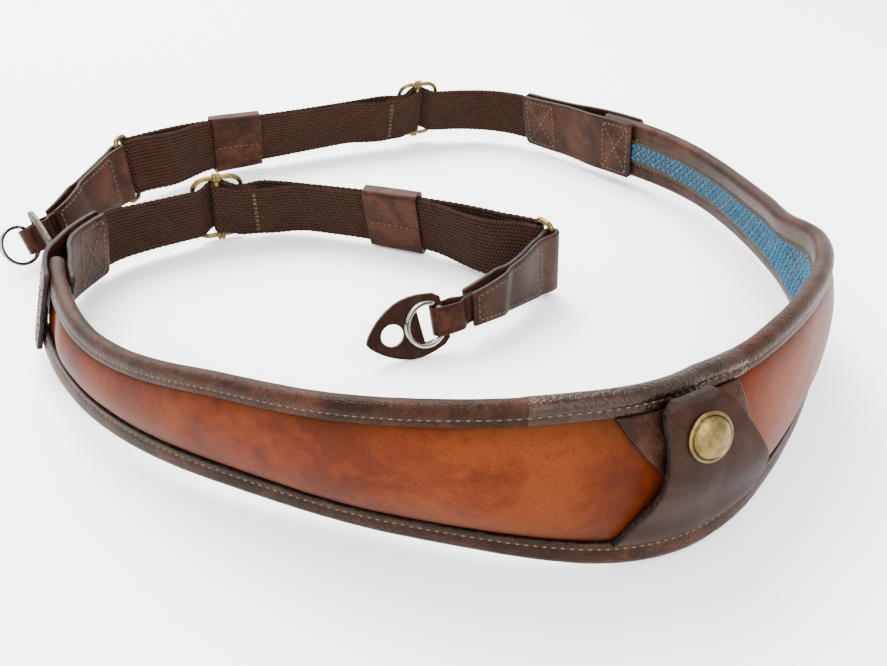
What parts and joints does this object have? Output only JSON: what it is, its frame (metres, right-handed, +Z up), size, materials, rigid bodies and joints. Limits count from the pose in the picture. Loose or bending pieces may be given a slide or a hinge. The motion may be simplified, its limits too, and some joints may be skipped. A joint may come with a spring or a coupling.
{
  "type": "camera neck strap",
  "caption": "Padded leather neck strap lying on edge in an open loop, with webbing strands, slides, keepers and split rings.",
  "frame": {"origin": "middle of the underside of the strap's box, on the surface that it stands on", "axes": "+Z up, +X to the viewer's right, +Y away from the viewer of the pad's outer face, along the loop's longer side"},
  "size_m": [0.3034, 0.3068, 0.0531],
  "materials": {
    "pad_leather": "cognac tan full-grain leather, mottled, satin",
    "trim_leather": "dark brown grained leather, satin, khaki thread",
    "flap_leather": "dark brown smooth leather, soft sheen, painted edges",
    "webbing": "coarse ribbed cotton webbing, matte",
    "lining_cloth": "turquoise embroidery on dark brown cloth",
    "antique_brass": "antique brass, mottled, satin",
    "nickel": "polished pale nickel"
  },
  "bodies": {
    "root": {"pad_body": "pad_leather", "binding_top": "trim_leather", "binding_bottom": "trim_leather", "lining": "lining_cloth", "band_upper": "flap_leather", "band_flap": "flap_leather", "snap_cap": "antique_brass", "snap_post": "antique_brass", "tab_outer_right": "trim_leather", "tab_inner_right": "trim_leather", "webbing_right": "webbing", "keeper_right": "trim_leather", "slide_frame_right": "antique_brass", "slide_bar_right": "antique_brass", "strap_loop_right": "antique_brass", "end_tab_right": "trim_leather", "ring_strip_right": "trim_leather", "guard_right": "flap_leather", "split_ring_right": "nickel", "tab_outer_left": "trim_leather", "tab_inner_left": "trim_leather", "webbing_left": "webbing", "keeper_left": "trim_leather", "slide_frame_left": "antique_brass", "slide_bar_left": "antique_brass", "strap_loop_left": "antique_brass", "end_tab_left": "trim_leather", "ring_strip_left": "trim_leather", "guard_left": "flap_leather", "split_ring_left": "nickel"}
  },
  "joints": []
}
